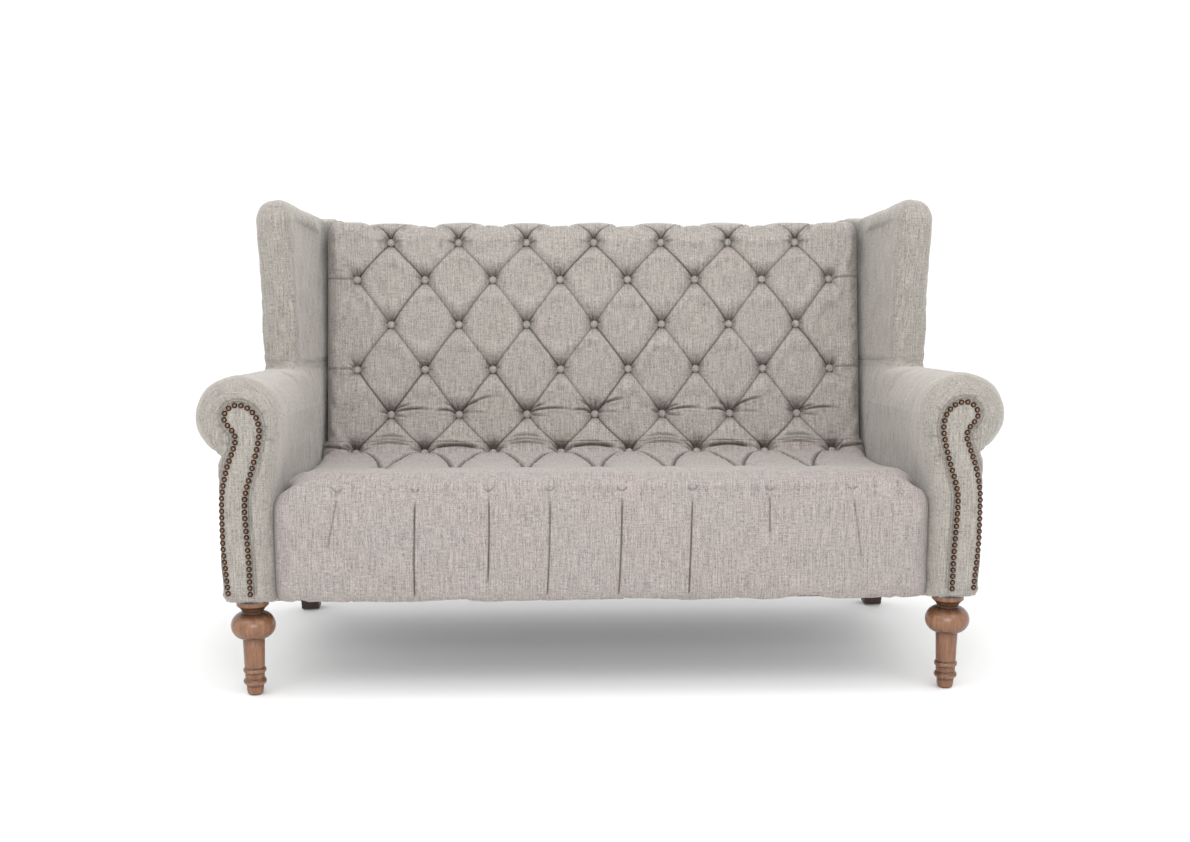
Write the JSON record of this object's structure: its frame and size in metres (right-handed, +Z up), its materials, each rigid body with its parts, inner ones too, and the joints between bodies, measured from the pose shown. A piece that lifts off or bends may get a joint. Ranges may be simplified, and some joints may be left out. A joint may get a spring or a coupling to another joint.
{
  "type": "chesterfield sofa",
  "caption": "Wing-backed two-seat chesterfield sofa with a deep-buttoned back and seat, scroll arms with nail-trimmed facings and turned front legs.",
  "frame": {"origin": "centre of the bounding box's footprint, on the floor", "axes": "+X runs to the sitter's left, which is the right side of the sofa seen from the front, the front faces -Y, +Z is up"},
  "size_m": [1.7, 0.84, 1.0519],
  "materials": {
    "oak": "satin mid-brown polish",
    "dark_oak": "dark brown satin stain",
    "steel": "plain spring and plate steel",
    "beech": "bare sawn frame timber",
    "hemp": "coarse natural cloth, webbing and twine",
    "cover_cloth": "thin black non-woven cloth",
    "fabric": "light greige slubbed linen weave, matt",
    "trim_fabric": "light greige slubbed linen weave, matt, stretched flat",
    "bronze": "antiqued bronze nail heads, semi-bright"
  },
  "bodies": {
    "root": {"front_leg_left": "oak", "front_leg_right": "oak", "rear_leg_left": "dark_oak", "rear_leg_right": "dark_oak", "leg_bolts": "steel", "leg_plates": "steel", "glides": "dark_oak", "front_seat_rail": "beech", "rear_seat_rail": "beech", "rear_base_rail": "beech", "side_seat_rail_left": "beech", "side_seat_rail_right": "beech", "seat_cross_rails": "beech", "corner_blocks": "beech", "seat_springs": "steel", "spring_clips": "steel", "seat_insulator": "hemp", "dust_cover": "cover_cloth", "back_post_left": "beech", "back_post_right": "beech", "back_top_rail": "beech", "back_mid_rail": "beech", "back_bottom_rail": "beech", "back_stiles": "beech", "back_webbing": "hemp", "back_hessian": "hemp", "arm_front_post_left": "beech", "arm_front_post_right": "beech", "arm_rear_post_left": "beech", "arm_rear_post_right": "beech", "arm_top_rail_left": "beech", "arm_top_rail_right": "beech", "arm_lower_rail_left": "beech", "arm_lower_rail_right": "beech", "arm_tack_rail_left": "beech", "arm_tack_rail_right": "beech", "arm_scroll_board_left": "beech", "arm_scroll_board_right": "beech", "wing_frame_left": "beech", "wing_frame_right": "beech", "seat_pad": "fabric", "back_pad": "fabric", "arm_pad_left": "fabric", "arm_pad_right": "fabric", "wing_pad_left": "fabric", "wing_pad_right": "fabric", "arm_facing_left": "trim_fabric", "arm_facing_right": "trim_fabric", "arm_nails_left": "bronze", "arm_nails_right": "bronze", "outside_arm_left": "fabric", "outside_arm_right": "fabric", "outside_wing_left": "fabric", "outside_wing_right": "fabric", "outside_back": "fabric", "back_buttons": "fabric", "seat_buttons": "fabric", "button_ties": "hemp", "frame_dowels": "beech"}
  },
  "joints": []
}
